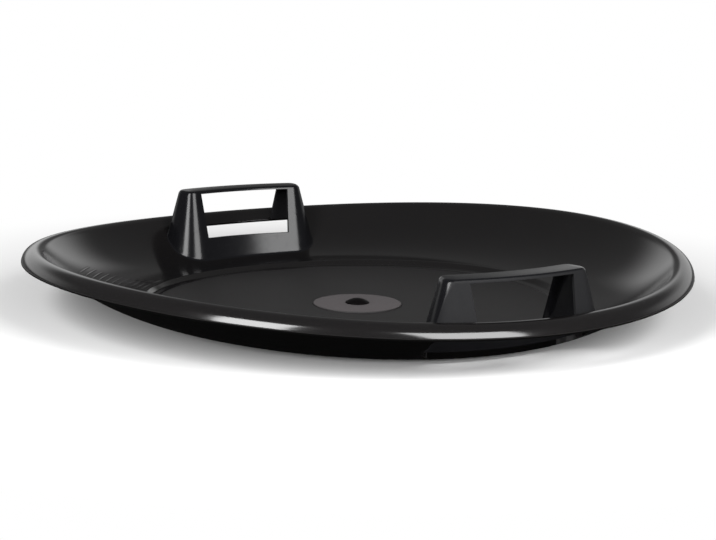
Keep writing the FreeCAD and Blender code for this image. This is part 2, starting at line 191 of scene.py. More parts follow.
GROUPS = {"sled_dish": DishSizes, "sled_grip": GripSizes, "sled_centre": CentreSizes,
          "sled_colours": SledColours, "sled_view": ViewSettings}

# Profiles in the plane of radius and height


def arc(start, slope_in, slope_out, radius, count):
    """Points of an arc that leaves start at one slope and ends at another, evenly spread over the turn."""
    bend = np.sign(slope_out - slope_in)
    slope = np.linspace(slope_in, slope_out, count + 1)
    across = start[0] + bend * radius * (np.sin(slope) - math.sin(slope_in))
    up = start[1] + bend * radius * (math.cos(slope_in) - np.cos(slope))
    return np.stack([across, up], 1)


def eased(points, radius, count=6):
    """A polyline whose inner corners are replaced by parabolic arcs that start one radius from the corner.

    On a short run an arc takes less than half of it.
    """
    points = np.asarray(points, float)
    share = np.linspace(0, 1, count + 1)[:, None]
    runs = [points[:1]]
    for before, corner, after in zip(points, points[1:], points[2:]):
        start, end = (corner + run * min(0.45, radius / max(np.linalg.norm(run), 1e-9))
                      for run in (before - corner, after - corner))
        runs.append((1 - share) ** 2 * start + 2 * share * (1 - share) * corner + share ** 2 * end)
    return np.concatenate(runs + [points[-1:]])


def spaced(points, counts):
    """A polyline with each of its runs divided into the given number of steps."""
    points = np.asarray(points, float)
    runs = [start + (end - start) * np.linspace(0, 1, count, endpoint=False)[:, None]
            for start, end, count in zip(points, points[1:], counts)]
    return np.concatenate(runs + [points[-1:]])


class DishForm:
    """The dish's upper and lower profile, worked out from its sizes, and its height at any place."""

    def __init__(self, sizes):
        self.sizes = sizes
        self.lip_run = DISH_HIGH.x - sizes.crest_radius
        self.crest_height = DISH_HIGH.z - sizes.rim_warp
        self.foot = np.array([sizes.floor_radius + sizes.crease_run + sizes.ledge_run + sizes.riser_run,
                              sizes.floor_top + sizes.crease_rise + sizes.ledge_rise + sizes.riser_rise])
        reach = sizes.crest_radius - sizes.crest_run - self.foot[0]
        # The wall's slope at its top and the height where it ends depend on each other: settled by half steps
        self.high = sizes.wall_lean
        for _ in range(60):
            rise = self.crest_height - sizes.crest_run * math.tan(self.high / 2) - self.foot[1]
            self.high += (2 * math.atan2(rise, reach) - sizes.wall_lean - self.high) / 2
        self.bend = reach / (math.sin(self.high) - math.sin(sizes.wall_lean))
        self.upper, self.lower, self.slot_rows = self.profiles()
        self.rising = self.upper[:np.argmax(self.upper[:, 0]) + 1]

    def wall_slope(self, radius):
        """Slope of the hollow wall at a radius: the arc's own angle."""
        return np.arcsin(math.sin(self.sizes.wall_lean) + (radius - self.foot[0]) / self.bend)

    def wall_points(self, radii):
        """Points of the wall's upper side at the given radii."""
        slope = self.wall_slope(radii)
        up = self.foot[1] + self.bend * (math.cos(self.sizes.wall_lean) - np.cos(slope))
        return np.stack([radii, up], 1)

    def under_wall(self, points):
        """Points of the underside, one arc, below the given upper points: straight through the wall.

        Round the openings' inner edge they lie farther in, along a bell curve, so that the edge is undercut.
        """
        s = self.sizes
        near_edge = np.exp(-((points[:, 0] - s.slot_inner) / s.undercut) ** 2)
        radii = points[:, 0] + s.thick * np.sin(self.wall_slope(points[:, 0])) - s.undercut * near_edge
        up = self.base_bend - np.sqrt(self.base_bend ** 2 - (radii - self.base_radius) ** 2)
        return np.stack([radii, up], 1)

    def profiles(self):
        """Upper and lower points, paired one to one from the hole to the lip, and the openings' rows."""
        s = self.sizes
        thick = s.thick
        top = self.wall_points(np.array([s.crest_radius - s.crest_run]))[0]
        under_top = top + thick * np.array([math.sin(self.high), -math.cos(self.high)])
        self.base_radius = under_top[0] - under_top[1] / math.tan(self.high / 2)
        self.base_bend = (under_top[0] - self.base_radius) / math.sin(self.high)
        step_end = self.wall_points(np.array([self.foot[0] + 2 * s.step_round]))[0]
        floor_low = s.floor_top - s.recess
        ledge = np.array([s.floor_radius + s.crease_run, s.floor_top + s.crease_rise])
        floor = spaced([(s.hole_radius, floor_low), (PAD_HIGH.x, floor_low), (PAD_HIGH.x, s.floor_top),
                        (s.floor_radius - 4 * s.crease_run, s.floor_top)], (4, 2, 14))
        step = eased([(s.floor_radius - 4 * s.crease_run, s.floor_top), (s.floor_radius, s.floor_top), ledge,
                      ledge + (s.ledge_run, s.ledge_rise), self.foot, step_end], s.step_round)[1:]
        inner = self.wall_points(np.linspace(step_end[0], s.slot_inner, 15))[1:]
        slot = self.wall_points(np.linspace(s.slot_inner, s.slot_outer, 15))[1:]
        outer = self.wall_points(np.linspace(s.slot_outer, top[0], 6))[1:]
        wall = np.concatenate([inner, slot, outer])
        crest_bend = s.crest_run / math.sin(self.high)
        lip_turn = 2 * math.atan2(s.lip_drop, self.lip_run)
        lip_bend = self.lip_run / math.sin(lip_turn)
        crest = arc(top, self.high, 0, crest_bend, 8)[1:]
        lip = arc(crest[-1], 0, -lip_turn, lip_bend, 14)[1:]
        edge = self.lip_edge(lip[-1], lip_turn)
        upper = np.concatenate([floor, step, wall, crest, lip, edge])
        base = spaced([(s.hole_radius, s.plug_recess), (s.plug_recess_radius, s.plug_recess),
                       (s.plug_recess_radius, 0), (self.base_radius, 0)], (4, 2, len(floor) - 7))
        base_end = self.under_wall(step[-1:])[0]
        base_slope = math.asin((base_end[0] - self.base_radius) / self.base_bend)
        base_arc = arc((self.base_radius, 0), 0, base_slope, self.base_bend, len(step))[1:]
        under_crest = arc(under_top, self.high, 0, crest_bend - thick, 8)[1:]
        under_lip = arc(under_crest[-1], 0, -lip_turn, lip_bend - thick, 14)[1:]
        under_edge = self.lip_edge(under_lip[-1], lip_turn, -1)
        lower = np.concatenate([base, base_arc, self.under_wall(wall), under_crest, under_lip, under_edge])
        first = len(floor) + len(step) + len(inner) - 1
        return upper, lower, (first, first + len(slot))

    def lip_edge(self, start, turn, side=1):
        """Half of the lip's rounded end: a quarter circle from the outer or inner side to the middle."""
        half = self.sizes.thick / 2
        along = np.array([math.cos(turn), -math.sin(turn)])
        out = side * np.array([math.sin(turn), math.cos(turn)])
        swing = np.linspace(0, math.pi / 2, 4)[1:, None]
        return start + half * (np.sin(swing) * along + (np.cos(swing) - 1) * out)

    def dip(self, radius, turn):
        """How far the warp lowers the upper side: the floor a little, all of it from the crest outwards.

        The floor's share grows with the square of the radius; on the wall the rest is added along a parabola.
        """
        s = self.sizes
        on_floor = np.clip(radius / s.floor_radius, 0, 1)
        inward = np.clip((s.crest_radius - radius) / (s.crest_radius - s.floor_radius), 0, 1)
        share = s.floor_warp * on_floor ** 2 + (1 - s.floor_warp) * (1 - inward ** 2)
        return s.rim_warp * share * np.cos(2 * (turn - s.warp_turn))

    def height(self, x, y):
        """Height of the dish's upper side at places in plan."""
        radius = np.hypot(x, y)
        return np.interp(radius, self.rising[:, 0], self.rising[:, 1]) - self.dip(radius, np.arctan2(y, x))

    def carried_round(self, radius, up, turns):
        """Places at given radii, heights and turns, lowered by the warp but kept above the ground."""
        lowered = np.maximum(up - self.dip(radius, turns), 0)
        return np.stack([radius * np.cos(turns), radius * np.sin(turns), lowered], 2)

    def opening_half(self, radius):
        """Half the angle of an opening at a radius: straight from its inner to its outer edge."""
        s = self.sizes
        return np.interp(radius, [s.slot_inner, s.slot_outer], [s.slot_inner_half, s.slot_outer_half])


# Meshes from grids


def grid_faces(kept, offset, columns, flip):
    """Quads of a grid's kept cells; the last column joins the first."""
    row, column = np.nonzero(kept)
    right = (column + 1) % columns
    quads = np.stack([row * columns + column, row * columns + right,
                      (row + 1) * columns + right, (row + 1) * columns + column], 1) + offset
    return quads[:, ::-1] if flip else quads


def wall_faces(kept, columns, shift, last_row_open):
    """Quads between two paired grids along every edge where a kept cell meets a missing one."""
    cells = kept.astype(int)
    padded = np.pad(cells, ((1, 1), (0, 0)))
    if not last_row_open:
        padded[-1] = padded[-2]
    quads = []
    for change, down, right, way in ((padded[1:] - padded[:-1], 0, 1, 1),
                                     (cells - np.roll(cells, 1, axis=1), 1, 0, -1)):
        for sign in (1, -1):
            row, column = np.nonzero(change == sign)
            edge = row * columns + column, (row + down) * columns + (column + right) % columns
            start, end = edge[::sign * way]
            quads.append(np.stack([end, start, start + shift, end + shift], 1))
    return np.concatenate(quads)


def shell_mesh(outer, inner, kept, last_row_open=True):
    """Points and faces of a walled shell: an outer grid, an inner grid and the walls round every opening."""
    rows, columns = outer.shape[:2]
    shift = rows * columns
    points = np.concatenate([outer.reshape(-1, 3), inner.reshape(-1, 3)])
    faces = np.concatenate([grid_faces(kept, 0, columns, False), grid_faces(kept, shift, columns, True),
                            wall_faces(kept, columns, shift, last_row_open)])
    return points, faces


def lathe(profile, columns):
    """A profile of radius and height turned about the sled's axis; ends on the axis are closed."""
    turns = np.linspace(0, 2 * math.pi, columns, endpoint=False)
    profile = np.asarray(profile, float)
    radius, up = profile[:, :1], profile[:, 1:]
    points = np.stack([radius * np.cos(turns), radius * np.sin(turns), up + 0 * turns], 2)
    return points.reshape(-1, 3), grid_faces(np.ones((len(profile) - 1, columns), bool), 0, columns, False)


def merged(parts):
    """Several meshes' points and faces as one."""
    shifts = np.cumsum([0] + [len(points) for points, _ in parts[:-1]])
    return (np.concatenate([points for points, _ in parts]),
            np.concatenate([faces + shift for (_, faces), shift in zip(parts, shifts)]))


def turned(points, angle_about_axis):
    """Points turned about the sled's axis."""
    cos, sin = math.cos(angle_about_axis), math.sin(angle_about_axis)
    return points @ np.array([[cos, sin, 0], [-sin, cos, 0], [0, 0, 1]])


def make_piece(name, points, faces, material, slot, nodes=(), rounding=0.0, under=None):
    """A mesh object at the origin that rides on the sled and, where nodes are given, stands for them.

    Where a second material is given for the underside, the faces that look down have it.
    """
    mesh = bpy.data.meshes.new(name)
    mesh.from_pydata(points, [], faces.tolist())
    work = bmesh.new()
    work.from_mesh(mesh)
    bmesh.ops.remove_doubles(work, verts=work.verts, dist=1e-6)
    bmesh.ops.dissolve_degenerate(work, edges=work.edges, dist=1e-7)
    bmesh.ops.recalc_face_normals(work, faces=work.faces)
    work.to_mesh(mesh)
    work.free()
    mesh.shade_smooth()
    mesh.set_sharp_from_angle(angle=SHARP_ANGLE)
    piece = bpy.data.objects.new(name, mesh)
    bpy.context.scene.collection.objects.link(piece)
    mesh.materials.append(material)
    if under:
        mesh.materials.append(under)
        normals = np.empty(3 * len(mesh.polygons))
        mesh.polygons.foreach_get("normal", normals)
        mesh.polygons.foreach_set("material_index", (normals[2::3] < LOOKS_DOWN).astype(np.int32))
    if rounding:
        bevel = piece.modifiers.new("soft edges", "BEVEL")
        bevel.width = rounding
        bevel.segments = 2
        bevel.limit_method = "ANGLE"
        bevel.angle_limit = ROUNDED_ANGLE
        bevel.harden_normals = True
    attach(piece, BODY)
    if nodes:
        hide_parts(*nodes)


# Materials


class Value:
    """A shader socket that takes part in Python sums; each operation adds a Math node."""

    def __init__(self, paint, socket):
        self.paint, self.socket = paint, socket

    def math(self, operation, *others):
        """A Math node on this value and the others."""
        return self.paint.node("ShaderNodeMath", {"operation": operation}, dict(enumerate((self,) + others)))

    def __add__(self, other):
        return self.math("ADD", other)

    def __sub__(self, other):
        return self.math("SUBTRACT", other)

    def __rsub__(self, other):
        return self.paint.node("ShaderNodeMath", {"operation": "SUBTRACT"}, {0: other, 1: self})

    def __mul__(self, other):
        return self.math("MULTIPLY", other)

    __radd__, __rmul__ = __add__, __mul__

    def between(self, low, high):
        """A smooth step: 0 at low, 1 at high."""
        return self.paint.node("ShaderNodeMapRange", {"interpolation_type": "SMOOTHSTEP", "clamp": True},
                               {"Value": self, "From Min": low, "From Max": high})


class Nodes:
    """A node tree being filled."""

    def __init__(self, tree):
        self.tree = tree

    def node(self, kind, settings, inputs, output=0):
        """Adds a node: its settings first, then the values or links of its sockets; returns one output."""
        node = self.tree.nodes.new(kind)
        for name, value in settings.items():
            setattr(node, name, value)
        for socket, value in inputs.items():
            if isinstance(value, Value):
                self.tree.links.new(value.socket, node.inputs[socket])
            else:
                node.inputs[socket].default_value = value
        return Value(self, node.outputs[output])

    def place(self):
        """Object coordinates."""
        return self.node("ShaderNodeTexCoord", {}, {}, "Object")

    def ray(self, kind):
        """1 for rays of a kind, such as Camera or Glossy."""
        return self.node("ShaderNodeLightPath", {}, {}, f"Is {kind} Ray")

    def vector(self, operation, *vectors, output=0):
        """A Vector Math node on the given vectors."""
        return self.node("ShaderNodeVectorMath", {"operation": operation}, dict(enumerate(vectors)), output)

    def from_axis(self, place):
        """Distance from the sled's axis."""
        return self.vector("LENGTH", self.vector("MULTIPLY", place, (1, 1, 0)), output="Value")

    def noise(self, place, scale, detail=3.0, roughness=0.55):
        """Noise of about 0 to 1; scale is in cells per metre."""
        return self.node("ShaderNodeTexNoise", {}, {"Vector": place, "Scale": scale, "Detail": detail,
                                                     "Roughness": roughness}, "Fac")

    def mix(self, factor, first, second):
        """A colour between two colours."""
        return self.node("ShaderNodeMix", {"data_type": "RGBA"}, {0: factor, 6: first, 7: second}, 2)

    def bump(self, height, distance, strength=1.0):
        """A normal from a height map; distance is the relief in metres."""
        return self.node("ShaderNodeBump", {}, {"Height": height, "Distance": distance, "Strength": strength})


class Paint(Nodes):
    """A material being mixed: its Principled shader and the nodes that feed it."""

    def __init__(self, name, **fixed):
        self.material = bpy.data.materials.new(name)
        self.material.use_nodes = True
        super().__init__(self.material.node_tree)
        self.shader = self.tree.nodes["Principled BSDF"]
        self.output = self.tree.nodes["Material Output"]
        for socket, value in fixed.items():
            self.shader.inputs[socket.replace("_", " ")].default_value = value

    def feed(self, **links):
        """Links values to the shader's sockets."""
        for socket, value in links.items():
            self.tree.links.new(value.socket, self.shader.inputs[socket.replace("_", " ")])
        return self.material


def shade(colour_value, factor=1.0):
    """A linear colour as four numbers."""
    return tuple(min(1.0, c * factor) for c in colour_value) + (1.0,)


def dish_plastic(colours, sizes):
    """Satin black wall with a faint moulding ripple and rubbed streaks; matt, finely grained floor."""
    paint = Paint("dish black plastic", IOR=1.5)
    place = paint.place()
    radius = paint.from_axis(place)
    on_floor = 1 - radius.between(sizes.floor_radius - 1 * MM, sizes.floor_radius + sizes.crease_run)
    grain = paint.noise(place, 1500, 2.0)
    cloud = paint.noise(place, 14, 4.0)
    ripple = paint.noise(place, 60, 1.0)
    base = paint.mix(on_floor, shade(colours.wall), shade(colours.floor))
    worn = paint.mix(cloud.between(0.4, 0.8) * 0.25, base, shade(colours.floor, 1.35))
    rough = 0.13 + on_floor * 0.45 + (cloud - 0.5) * 0.06 + (grain - 0.5) * 0.04
    relief = grain * (0.08 + on_floor * 0.92) + ripple * 0.15
    return paint.feed(Base_Color=worn, Roughness=rough, Normal=paint.bump(relief, 0.05 * MM, 0.6))


def under_plastic(colours):
    """Dull black of the running side, darkened as painted shade, rubbed into fine streaks along the sled."""
    paint = Paint("running side black plastic", IOR=1.45, Specular_IOR_Level=0.015)
    place = paint.place()
    streaks = paint.noise(paint.vector("MULTIPLY", place, (1, 0.04, 1)), 420, 4.0, 0.65)
    cloud = paint.noise(place, 16, 4.0)
    # Base colour darkened below the wall's black as painted shade; the lighter streaks are wear
    base = paint.mix(streaks.between(0.52, 0.8) * 0.6, shade(colours.under), shade(colours.under, 2.2))
    return paint.feed(Base_Color=base, Roughness=0.45 + cloud * 0.15,
                      Normal=paint.bump(streaks, 0.04 * MM, 0.5))


def grip_plastic(colours, sizes):
    """Polished black with a very slight ripple and a few dull handling marks; the back is duller."""
    paint = Paint("grip black plastic", IOR=1.52, Specular_IOR_Level=0.2)
    place = paint.place()
    ripple = paint.noise(place, 45, 1.0)
    marks = paint.noise(place, 160, 5.0, 0.7)
    base = paint.mix(marks.between(0.55, 0.8) * 0.5, shade(colours.grip), shade(colours.grip, 2.0))
    back = paint.from_axis(place).between(sizes.outer - 1 * MM, sizes.outer + 1 * MM)
    rough = 0.19 + marks.between(0.5, 0.85) * 0.12 + back * 0.55
    return paint.feed(Base_Color=base, Roughness=rough, Normal=paint.bump(ripple, 0.08 * MM, 0.35))


def pad_plastic(colours):
    """Matt dark grey disc with a fine even grain, patchy dirt, darker towards its rim, and painted shade on
    its outer edge.
    """
    paint = Paint("pad grey plastic", IOR=1.45)
    place = paint.place()
    radius = paint.from_axis(place)
    grain = paint.noise(place, 1800, 2.0)
    cloud = paint.noise(place, 40, 4.0)
    rim = radius.between(PAD_HIGH.x - 4 * MM, PAD_HIGH.x)
    # A narrow band just inside the pad's edge is darkened: painted shade over the edge that the lights catch
    edge = radius.between(PAD_HIGH.x - 0.8 * MM, PAD_HIGH.x - 0.3 * MM)
    # Patchy dirt from the cloud noise, and the colour made darker towards the rim
    dirt_and_rim_darkening = cloud.between(0.3, 0.8) * 0.3 + rim * 0.35
    base = paint.mix(dirt_and_rim_darkening, shade(colours.pad), shade(colours.pad, 0.8))
    pad_with_shaded_edge = paint.mix(edge, base, shade(colours.pad, 0.2))
    return paint.feed(Base_Color=pad_with_shaded_edge, Roughness=0.72 + (grain - 0.5) * 0.2,
                      Normal=paint.bump(grain, 0.08 * MM, 0.7))


def plug_plastic(colours):
    """Satin black push-in plug."""
    paint = Paint("plug black plastic", IOR=1.5, Specular_IOR_Level=0.05)
    place = paint.place()
    grain = paint.noise(place, 900, 3.0)
    base = paint.mix(grain, shade(colours.plug), shade(colours.plug, 1.6))
    return paint.feed(Base_Color=base, Roughness=0.42 + grain * 0.15,
                      Normal=paint.bump(grain, 0.03 * MM, 0.5))


# Pieces


def dish_shell(form, grip):
    """The dish: upper and lower profile carried round the axis, with the openings' cells left out.

    Near an opening's ends the columns lean so that one of them runs along each end: they shift by
    u * exp((1 - u ** 2) / 2) times what the end needs, u being the angle from the grip over the opening's
    half. In its corners only the cells inside the grip's rounding are left out, and their outer points lie
    on it.
    """
    s = form.sizes
    step = 2 * math.pi / DISH_COLUMNS
    even = np.arange(DISH_COLUMNS) * step
    from_grip = (even + math.pi / 2) % math.pi - math.pi / 2
    radius = form.upper[:, :1] + 0 * even
    mean_half = round((s.slot_inner_half + s.slot_outer_half) / 2 / step) * step
    outside = np.maximum(np.maximum(s.slot_inner - radius, radius - s.slot_outer), 0)
    fade = np.clip(1 - outside / (s.crest_radius - s.slot_outer), 0, 1)
    lean = (form.opening_half(radius) - mean_half) * fade
    share = from_grip / mean_half
    turns = from_grip + lean * share * np.exp((1 - share ** 2) / 2)
    beyond, rounded = grip.corner(radius, turns)
    first, last = form.slot_rows
    kept = np.ones((len(radius) - 1, DISH_COLUMNS), bool)
    cell_from_grip = np.abs((even + step / 2 + math.pi / 2) % math.pi - math.pi / 2)
    kept[first:last, cell_from_grip < mean_half] = False
    ahead = np.roll(beyond, -1, axis=1)
    kept |= (beyond[:-1] + beyond[1:] + ahead[:-1] + ahead[1:]) / 4 > 0
    gone = ~np.pad(kept, ((1, 1), (0, 0)), constant_values=True)
    touched = [part | np.roll(part, 1, axis=1) for part in (gone, ~gone)]
    edge = np.logical_and(*(part[1:] | part[:-1] for part in touched)) & (beyond > -np.inf)
    radius = np.where(edge, rounded[0], radius)
    turns = np.where(edge, rounded[1], turns) + even - from_grip
    up, below = form.upper[:, 1:] + 0 * radius, np.repeat(form.lower[:, None], DISH_COLUMNS, axis=1)
    moved = form.wall_points(radius[edge])
    up[edge], below[edge] = moved[:, 1], form.under_wall(moved)
    return shell_mesh(form.carried_round(radius, up, turns),
                      form.carried_round(below[..., 0], below[..., 1], turns), kept)


def heel_rib(form, radius):
    """One rib: a half-round section laid along a circle on the front wall, sinking away at both ends."""
    s = form.sizes
    reach = math.asin(s.rib_reach / radius)
    along = np.linspace(-1, 1, RIB_STEPS + 1)
    turn = along * reach - math.pi / 2
    swing = np.linspace(0, math.pi, RIB_ROUND_STEPS + 1)
    across = np.concatenate([-np.cos(swing), [0.5, -0.5]]) * s.rib_width / 2
    up = np.concatenate([np.sin(swing), [-0.6, -0.6]])
    fade = np.sqrt(np.clip((1 - np.abs(along)) * reach * radius / s.rib_width, 0, 1))
    r = radius + across[:, None] * np.maximum(fade, 0.02)
    x, y = r * np.cos(turn), r * np.sin(turn)
    lift = up[:, None] * s.rib_height * np.where(up[:, None] > 0, fade, 0.4) - s.rib_sink
    points = np.stack([x, y, form.height(x, y) + lift], 2).transpose(1, 0, 2)
    columns = points.shape[1]
    faces = grid_faces(np.ones((len(points) - 1, columns), bool), 0, columns, False)
    hub = np.zeros(columns - 2, int)
    fan = np.stack([hub, np.arange(1, columns - 1), np.arange(2, columns), hub], 1)
    return points.reshape(-1, 3), np.concatenate([faces, fan, fan + (len(points) - 1) * columns])


class GripForm:
    """A grip as the outline of its top face, which grows outwards downwards, with rows of known height."""

    # Steps round the outline, then steps of the rows from the foot to the middle of the top
    END, CORNER, WINDOW, POST = 8, 9, 56, 10
    FLARE, SKIRT, OPENING, LINTEL, ROUND, PLATE = 8, 6, 24, 2, 7, 8

    def __init__(self, sizes, dish):
        self.sizes, self.dish = sizes, dish
        self.top = GRIP_HIGH.z
        self.side = np.array([-math.sin(sizes.half), math.cos(sizes.half)])
        along = np.array([math.cos(sizes.half), math.sin(sizes.half)])
        corner = sizes.corner
        self.near = along * math.sqrt((sizes.inner + corner) ** 2 - corner ** 2) - self.side * corner
        self.far = along * math.sqrt((sizes.outer - corner) ** 2 - corner ** 2) - self.side * corner
        self.in_window = np.concatenate([-np.ones(self.POST), np.linspace(-1, 1, self.WINDOW + 1),
                                         np.ones(self.POST)])
        post = np.linspace(0, 1, self.POST + 1)[1:]
        self.in_post = np.concatenate([-post[::-1], np.zeros(self.WINDOW + 1), post])
        arc_count, corner_count, end_count = len(self.in_window), self.CORNER - 1, self.END + 1
        self.counts = (arc_count, corner_count, end_count, corner_count) * 2
        self.columns = sum(self.counts)

    def arc_turns(self, edge, limit):
        """Turns of an arc's columns: evenly over the hand opening to its edge, then evenly to the limit."""
        return self.in_window * edge + self.in_post * (limit - edge)

    def window_half(self, up):
        """Half length of the hand opening at a height: straight between its foot and its top."""
        s = self.sizes
        return np.interp(up, [s.skirt_top, self.top - s.window_gap], [s.window_low_half, s.window_top_half])

    def outline(self, grow, up):
        """Plan places and normals of rows whose outline is the top one, moved outwards by grow at height up.

        The columns run round: back arc, corner, end, corner, front arc, corner, end, corner.
        """
        s = self.sizes
        cuts = np.cumsum(self.counts)[:-1]
        grow, up = np.split(grow, cuts, axis=1), np.split(up, cuts, axis=1)
        back_limit, front_limit = (math.atan2(c[1], c[0]) for c in (self.far, self.near))
        side_turn = math.atan2(self.side[1], self.side[0])
        mirror = np.array([1, -1])
        share = np.linspace(0, 1, self.END + 1)[:, None]
        inside = np.linspace(0, 1, self.CORNER + 1)[1:-1]

        def on_circle(centre, radius, turns, sign=1):
            direction = np.stack([np.cos(turns), np.sin(turns)], -1) + 0 * radius[..., None]
            return centre + radius[..., None] * direction, sign * direction

        def on_axis(radius, heights, limit, sign):
            edge = np.arcsin(self.window_half(heights) / radius)
            return on_circle(np.zeros(2), radius, sign * self.arc_turns(edge, limit), sign)

        def corner(centre, start, end, part):
            return on_circle(centre, s.corner + grow[part], start + (end - start) * inside)

        def end(start, finish, normal, part):
            return (start + (finish - start) * share + (s.corner + grow[part])[..., None] * normal,
                    normal + 0 * grow[part][..., None])

        parts = [on_axis(s.outer + grow[0], up[0], back_limit, 1),
                 corner(self.far, back_limit, side_turn, 1),
                 end(self.far, self.near, self.side, 2),
                 corner(self.near, side_turn, front_limit + math.pi, 3),
                 on_axis(s.inner - grow[4], up[4], front_limit, -1),
                 corner(self.near * mirror, -front_limit - math.pi, -side_turn, 5),
                 end(self.near * mirror, self.far * mirror, self.side * mirror, 6),
                 corner(self.far * mirror, -side_turn, -back_limit, 7)]
        return tuple(np.concatenate(columns, axis=1) for columns in zip(*parts))

    def corner(self, radius, turn):
        """How far places on the dish lie beyond the middle of the wall round a corner, and the place next to
        them on it as radius and turn. Places that aren't at a corner get minus infinity.
        """
        s = self.sizes
        flip = np.where(turn < 0, -1, 1)
        place = np.stack([radius * np.cos(turn), radius * np.abs(np.sin(turn))], -1)
        drop = self.top - np.interp(radius, self.dish.rising[:, 0], self.dish.rising[:, 1])
        size = s.corner + drop * math.tan(s.draft) - s.wall / 2
        beyond, middle = np.full(radius.shape, -np.inf), place
        for centre, sign in ((self.near, -1), (self.far, 1)):
            away = place - centre
            reach = np.linalg.norm(away, axis=-1)
            past_centre = sign * (radius - np.linalg.norm(centre)) > 0
            here = (away @ self.side > 0) & past_centre & (np.abs(turn) < 2 * s.half)
            beyond = np.where(here, reach - size, beyond)
            on_wall = centre + away * (size / np.maximum(reach, 1e-9))[..., None]
            middle = np.where(here[..., None], on_wall, middle)
        return beyond, (np.linalg.norm(middle, axis=-1), flip * np.arctan2(middle[..., 1], middle[..., 0]))

    def middle_line(self):
        """The arc along the middle of the top face on which the front's and the back's columns meet."""
        s = self.sizes
        radius = (s.inner + s.outer) / 2
        limit = s.half - math.asin((s.outer - s.inner) / 2 / radius)
        turns = self.arc_turns(math.asin(s.window_top_half / radius), limit)
        _, corner_count, end_count = self.counts[:3]
        ends = np.full(2 * corner_count + end_count, limit)
        turns = np.concatenate([turns, ends, turns[::-1], -ends])
        return radius * np.stack([np.cos(turns), np.sin(turns)], -1)

    def surface(self, inset, roof, edge, flared):
        """One side of the moulding from its foot up to the middle of its top, as rows of points.

        Rows: hollow rounding at the foot, skirt, hand opening, lintel, rounded top edge, top face.
        """
        s = self.sizes
        level = np.zeros((1, self.columns))
        normals = self.outline(level, level + self.top)[1]
        ahead = np.clip(-normals[..., 0], 0, 1) ** 2
        lean = math.tan(s.draft)
        flare = flared * (s.end_flare * normals[..., 1] ** 2 + s.front_flare * ahead)
        edge = edge + (s.end_edge - s.edge) * np.abs(normals[..., 1]) ** 2
        rise = s.foot_rise * (0.7 + 0.3 * ahead)
        # The foot's place and the dish's height there depend on each other: settled by steps
        foot = level + s.skirt_top
        for _ in range(40):
            places = self.outline((self.top - foot) * lean - inset + flare, foot)[0]
            foot = foot + 0.6 * (self.dish.height(places[..., 0], places[..., 1]) - s.foot_sink - foot)
        swing = np.linspace(math.pi / 2, 0, self.FLARE + 1)[:, None]
        flare_up = foot + rise * (1 - np.sin(swing))
        opening_low = np.maximum(s.skirt_top, flare_up[-1:] + s.foot_band)
        tangent = edge * math.cos(s.draft) / (1 + math.sin(s.draft))
        edge_low = roof - tangent * math.cos(s.draft)
        opening_top = np.minimum(level + self.top - s.window_gap, edge_low)
        skirt_up = flare_up[-1:] + (opening_low - flare_up[-1:]) * steps(self.SKIRT)
        opening_up = opening_low + (opening_top - opening_low) * steps(self.OPENING)
        lintel_up = opening_top + (edge_low - opening_top) * steps(self.LINTEL)
        up = np.concatenate([flare_up, skirt_up, opening_up, lintel_up])
        grow = (self.top - up) * lean - inset
        grow[:len(flare_up)] += flare * (1 - np.cos(swing))
        swing = s.draft + (math.pi / 2 - s.draft) * steps(self.ROUND)
        round_up = roof + edge * (np.sin(swing) - 1)
        round_grow = (self.top - roof) * lean - inset - tangent + edge * np.cos(swing)
        up, grow = np.concatenate([up, round_up]), np.concatenate([grow, round_grow])
        places = self.outline(grow, up)[0]
        inward = steps(self.PLATE)
        plate = places[-1:] + (self.middle_line() - places[-1:]) * inward[..., None]
        plate_up = up[-1:] + s.crown * (1 - (1 - inward) ** 2)
        places, up = np.concatenate([places, plate]), np.concatenate([up, plate_up])
        return np.concatenate([places, up[..., None]], axis=2)

    def shell(self):
        """The moulding's outer and inner side, open at the hand opening and all the way down behind."""
        s = self.sizes
        outer = self.surface(0.0, self.top, s.edge, 1.0)
        inner = self.surface(s.wall / math.cos(s.draft), self.top - s.wall, s.inner_edge, 0.0)
        kept = np.ones((len(outer) - 1, self.columns), bool)
        low = self.FLARE + self.SKIRT
        front = sum(self.counts[:4]) + self.POST
        kept[low:low + self.OPENING, front:front + self.WINDOW] = False
        kept[:low + self.OPENING, self.POST:self.POST + self.WINDOW] = False
        return shell_mesh(outer, inner, kept, last_row_open=False)


def steps(count):
    """The shares 1/count to 1 as a column."""
    return np.linspace(0, 1, count + 1)[1:, None]


class SledOperator(bpy.types.Operator):
    """What the piece operators share."""
    bl_options = {"REGISTER", "UNDO"}

    @staticmethod
    def forms(context):
        """The dish's and the grips' forms from the scene's sizes."""
        dish = DishForm(context.scene.sled_dish)
        return dish, GripForm(context.scene.sled_grip, dish)


class SLED_OT_dish(SledOperator):
    """Builds the dish with its heel ribs"""
    bl_idname = "sled.dish"
    bl_label = "Dish"

    def execute(self, context):
        form, grip = self.forms(context)
        s = form.sizes
        black = dish_plastic(context.scene.sled_colours, s)
        dull = under_plastic(context.scene.sled_colours)
        make_piece("sled_dish", *dish_shell(form, grip), black, "dish_plastic", ["dish"],
                   rounding=s.edge_round, under=dull)
        ribs = [heel_rib(form, s.rib_radius + s.rib_pitch * index) for index in range(s.rib_count)]
        make_piece("heel_ribs", *merged(ribs), black, "dish_plastic")
        return {"FINISHED"}


class SLED_OT_grips(SledOperator):
    """Builds the two hand grips"""
    bl_idname = "sled.grips"
    bl_label = "Grips"

    def execute(self, context):
        _, form = self.forms(context)
        black = grip_plastic(context.scene.sled_colours, form.sizes)
        points, faces = form.shell()
        for side, turn in SIDES:
            make_piece(f"{side}_grip", turned(points, turn), faces, black, "grip_plastic",
                       [f"{side}_handle"], rounding=form.sizes.edge_round)
        return {"FINISHED"}


